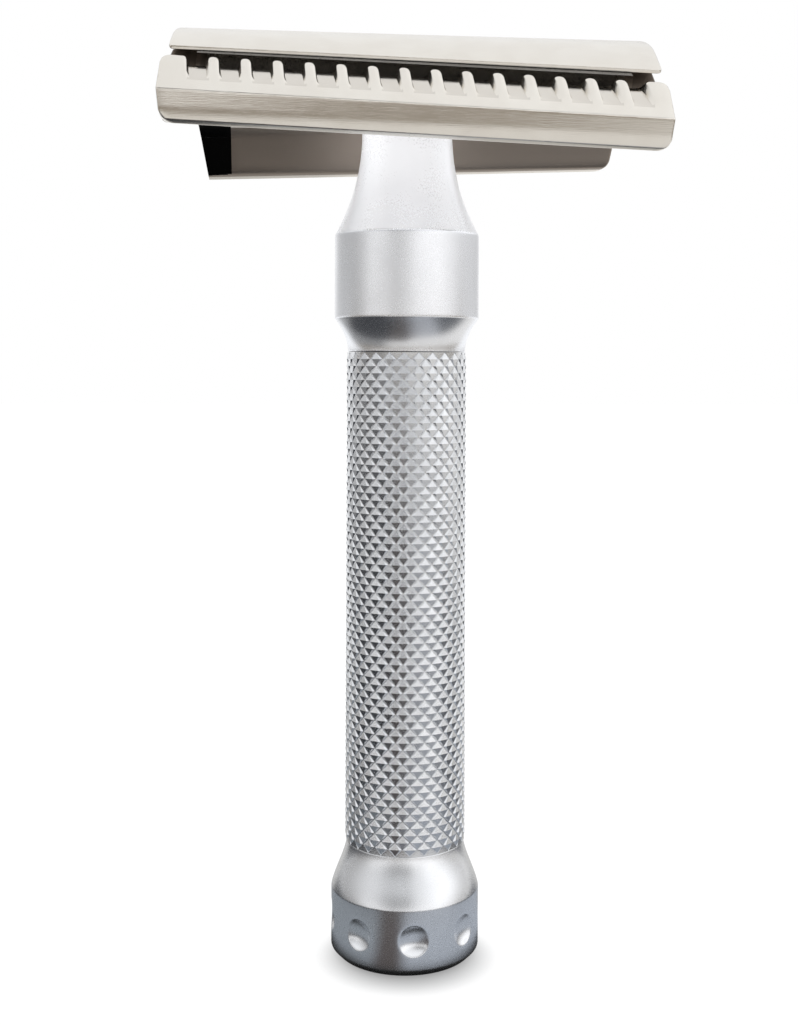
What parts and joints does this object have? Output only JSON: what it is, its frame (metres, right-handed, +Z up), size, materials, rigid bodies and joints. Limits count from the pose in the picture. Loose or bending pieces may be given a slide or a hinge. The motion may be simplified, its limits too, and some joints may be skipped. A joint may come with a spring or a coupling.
{
  "type": "safety razor",
  "caption": "Slant double-edge safety razor: twisted cap, blade and comb plate clamped by a knurled handle that screws on to the cap's stud.",
  "frame": {"origin": "centre of the end knob's foot, on the handle's axis, where the razor stands", "axes": "+Z up along the handle towards the cap, +X along the head to the right, -Y towards the side that the picture shows"},
  "size_m": [0.044, 0.0266, 0.085],
  "materials": {
    "satin_aluminium": "bead-blasted satin, cool silver",
    "head_steel": "satin, warm silver",
    "blade_steel": "ground and polished edge",
    "fastener_steel": "machined",
    "seal_rubber": "matt black"
  },
  "bodies": {
    "handle": {"end_knob": "satin_aluminium", "grip_sleeve": "satin_aluminium", "neck_collar": "satin_aluminium", "thread_insert": "fastener_steel", "tie_rod": "fastener_steel", "seal_ring_lower": "seal_rubber", "seal_ring_upper": "seal_rubber"},
    "plate": {"base_plate": "head_steel"},
    "blade": {"blade": "blade_steel"},
    "cap": {"top_cap": "head_steel", "threaded_stud": "fastener_steel", "locating_pin_left": "fastener_steel", "locating_pin_right": "fastener_steel"}
  },
  "joints": [
    {"name": "head_turn", "type": "hinge", "parent": "handle", "child": "plate", "pos_m": [0, 0, 0.079], "axis": [0, 0, 1], "range_deg": [0, 3600]},
    {"name": "blade_lift", "type": "slide", "parent": "plate", "child": "blade", "axis": [0, 0, 1], "range_m": [0, 0.004]},
    {"name": "cap_lift", "type": "slide", "parent": "plate", "child": "cap", "axis": [0, 0, 1], "range_m": [0, 0.008]}
  ],
  "couplings": [
    {"joint": "cap_lift", "follows": "head_turn", "m_per_rad": 0.00012732},
    {"joint": "blade_lift", "follows": "head_turn", "m_per_rad": 0.000063662}
  ]
}
